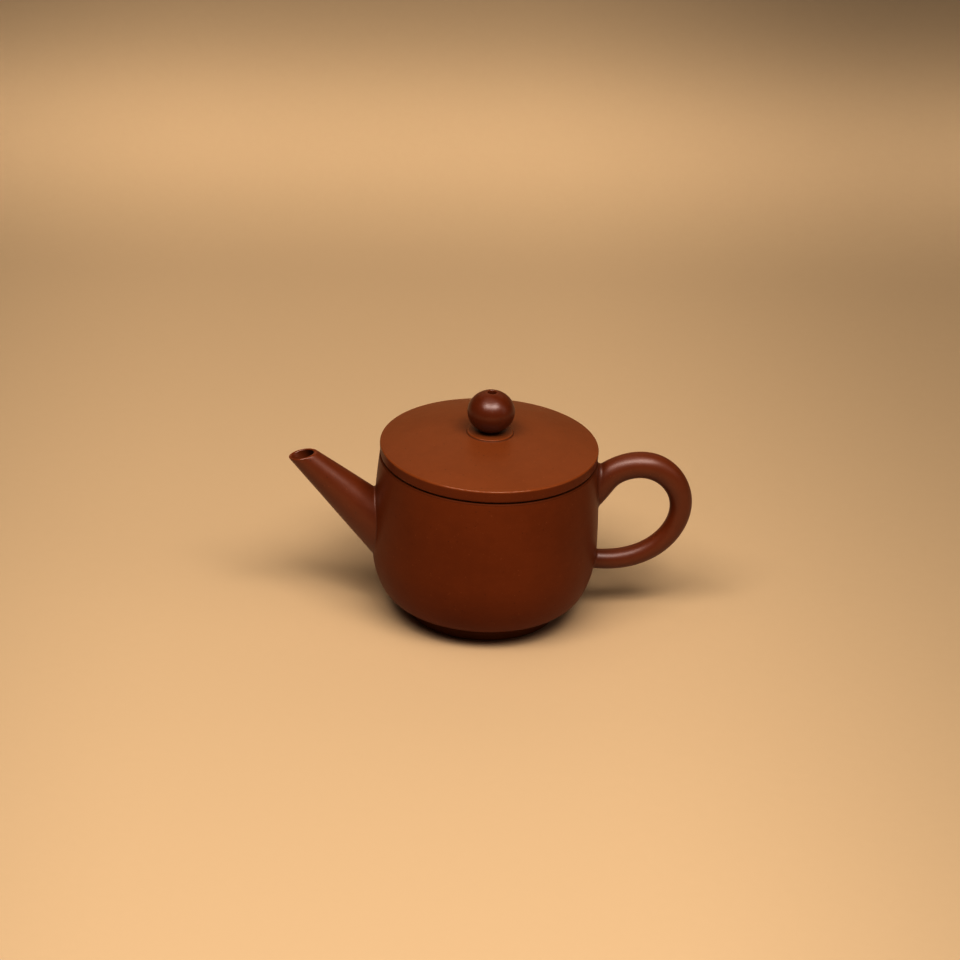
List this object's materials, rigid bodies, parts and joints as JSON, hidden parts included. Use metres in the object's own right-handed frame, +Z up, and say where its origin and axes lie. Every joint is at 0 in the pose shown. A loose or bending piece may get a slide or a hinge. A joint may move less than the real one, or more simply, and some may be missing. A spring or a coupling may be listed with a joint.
{
  "type": "yixing clay teapot",
  "caption": "Small straight-spouted unglazed clay teapot with a round ear handle and a full-width lid with a ball knob; the lid lifts off and turns.",
  "frame": {"origin": "under the middle of the pot's whole length, on the surface that the foot stands on; the pot's axis is the vertical line x = -1.2 mm, y = 0", "axes": "+Z up along the pot's axis and the lid's lift; -X towards the spout; +X towards the handle; Y = 0 is the plane of symmetry"},
  "size_m": [0.1267, 0.0706, 0.0742],
  "materials": {
    "pot_clay": "satin unglazed red-brown stoneware, lightly polished by hand",
    "spout_clay": "satin unglazed red-brown stoneware, burnished",
    "handle_clay": "satin unglazed red-brown stoneware, burnished",
    "lid_clay": "satin unglazed red-brown stoneware, lightly polished by hand",
    "inner_clay": "matt raw unglazed red-brown stoneware"
  },
  "bodies": {
    "pot": {"body_wall": "pot_clay", "base_disc": "inner_clay", "foot_ring": "pot_clay", "mouth_ring": "pot_clay", "spout": "spout_clay", "spout_strainer": "inner_clay", "handle": "handle_clay"},
    "lid_collar": {"lid_flange": "inner_clay"},
    "lid": {"lid_plate": "lid_clay", "knob_seat": "lid_clay", "knob": "lid_clay"}
  },
  "joints": [
    {"name": "lid_lift", "type": "slide", "parent": "pot", "child": "lid_collar", "axis": [0, 0, 1], "range_m": [0, 0.045]},
    {"name": "lid_turn", "type": "hinge", "parent": "lid_collar", "child": "lid", "pos_m": [-0.0012, 0, 0.0525], "axis": [0, 0, 1], "continuous": true}
  ]
}
